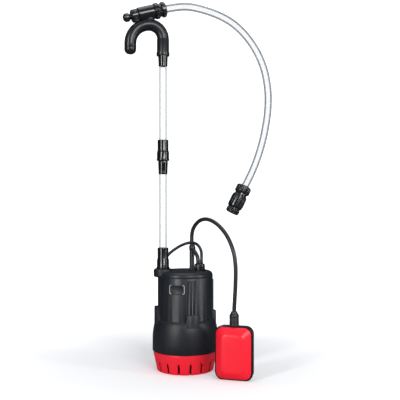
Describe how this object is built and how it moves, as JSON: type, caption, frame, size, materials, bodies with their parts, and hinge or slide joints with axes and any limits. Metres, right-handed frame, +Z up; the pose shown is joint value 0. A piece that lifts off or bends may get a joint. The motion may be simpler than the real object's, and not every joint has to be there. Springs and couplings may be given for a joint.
{
  "type": "submersible rain-barrel pump",
  "caption": "Small submersible pump with a clear riser, over-the-rim hook bend with regulating valve, clear outlet hose with click connectors and a float switch.",
  "frame": {"origin": "centre of the flat underside of the strainer, on the pump's own axis", "axes": "+Z up along the pump axis and the riser; the riser and the hook stand on the -X side; the badge faces -Y and -X"},
  "size_m": [0.3601, 0.3863, 0.8507],
  "materials": {
    "red_plastic": "moulded, satin gloss",
    "black_plastic": "moulded, fine grain, satin",
    "gloss_black": "moulded, glossy",
    "clear_pvc": "clear flexible plastic",
    "cable_rubber": "matt rubber",
    "bright_steel": "ground and plated",
    "laminations": "stacked electrical steel",
    "copper": "enamelled winding wire",
    "aluminium": "drawn can",
    "ivory_plastic": "natural nylon"
  },
  "bodies": {
    "pump": {"strainer_base": "red_plastic", "base_plate": "red_plastic", "pump_housing": "black_plastic", "top_cover": "black_plastic", "housing_screws": "bright_steel", "motor_seal": "cable_rubber", "volute": "black_plastic", "suction_plate": "black_plastic", "bearing_carrier": "black_plastic", "motor_casing": "aluminium", "lower_bearing": "bright_steel", "upper_bearing": "bright_steel", "shaft_seal": "cable_rubber", "stator_core": "laminations", "stator_windings": "copper", "capacitor": "aluminium", "discharge_pipe": "black_plastic", "discharge_seal": "cable_rubber", "cable_gland_nut": "gloss_black", "cable_gland_seal": "cable_rubber", "cable_post": "black_plastic", "cable_clip": "black_plastic", "label_badge": "black_plastic", "lower_riser_bell": "gloss_black", "lower_riser_tube": "clear_pvc", "lower_riser_spigot": "gloss_black", "upper_riser_bell": "gloss_black", "upper_riser_tube": "clear_pvc", "upper_riser_spigot": "gloss_black", "riser_seals": "cable_rubber", "power_cable": "cable_rubber", "power_cable_coil": "cable_rubber", "power_plug": "cable_rubber", "plug_pins": "bright_steel", "float_cable_lead": "cable_rubber"},
    "rotor": {"motor_shaft": "bright_steel", "rotor_core": "laminations", "impeller": "ivory_plastic"},
    "hook": {"hook_bend": "gloss_black", "hook_end_cap": "gloss_black", "valve_body": "gloss_black", "valve_bonnet": "gloss_black"},
    "valve_knob": {"valve_knob": "gloss_black", "valve_spindle": "bright_steel"},
    "valve_plug": {"valve_plug": "ivory_plastic"},
    "hose": {"connector_a_body": "gloss_black", "connector_a_nut": "gloss_black", "outlet_hose": "clear_pvc", "connector_b_nut": "gloss_black", "connector_b_body": "gloss_black", "connector_b_socket": "gloss_black", "connector_b_ring": "gloss_black"},
    "collar_a": {"collar_a": "gloss_black"},
    "collar_b": {"collar_b": "gloss_black"},
    "float": {"float_front_shell": "red_plastic", "float_back_shell": "gloss_black", "float_boot": "cable_rubber", "float_switch": "black_plastic", "float_cable": "cable_rubber"},
    "float_ball": {"switch_ball": "bright_steel"}
  },
  "joints": [
    {"name": "rotor_spin", "type": "hinge", "parent": "pump", "child": "rotor", "pos_m": [0, 0, 0.1], "axis": [0, 0, 1], "continuous": true},
    {"name": "hook_swivel", "type": "hinge", "parent": "pump", "child": "hook", "pos_m": [-0.053, 0, 0.74], "axis": [0, 0, 1], "continuous": true},
    {"name": "valve_knob_turn", "type": "hinge", "parent": "hook", "child": "valve_knob", "pos_m": [-0.0986, 0, 0.818], "axis": [0.9613, 0, 0.2756], "range_deg": [0, 540]},
    {"name": "valve_plug_slide", "type": "slide", "parent": "hook", "child": "valve_plug", "axis": [-0.9613, 0, -0.2756], "range_m": [0, 0.006]},
    {"name": "hose_swivel", "type": "hinge", "parent": "hook", "child": "hose", "pos_m": [-0.0986, 0, 0.818], "axis": [0.9613, 0, 0.2756], "range_deg": [-70, 70]},
    {"name": "collar_a_slide", "type": "slide", "parent": "hose", "child": "collar_a", "axis": [0.9613, 0, 0.2756], "range_m": [0, 0.004], "stiffness_N_per_m": 400, "springref_m": -0.002},
    {"name": "collar_b_slide", "type": "slide", "parent": "hose", "child": "collar_b", "axis": [0.4617, 0, 0.887], "range_m": [0, 0.004], "stiffness_N_per_m": 400, "springref_m": -0.002},
    {"name": "float_swing", "type": "hinge", "parent": "pump", "child": "float", "pos_m": [0.019, 0.014, 0.29], "axis": [-0.9171, -0.3987, 0], "range_deg": [0, 50]},
    {"name": "float_ball_slide", "type": "slide", "parent": "float", "child": "float_ball", "axis": [0, 0, 1], "range_m": [0, 0.008]}
  ],
  "couplings": [
    {"joint": "valve_knob_turn", "follows": "valve_plug_slide", "rad_per_m": 1570.8}
  ]
}
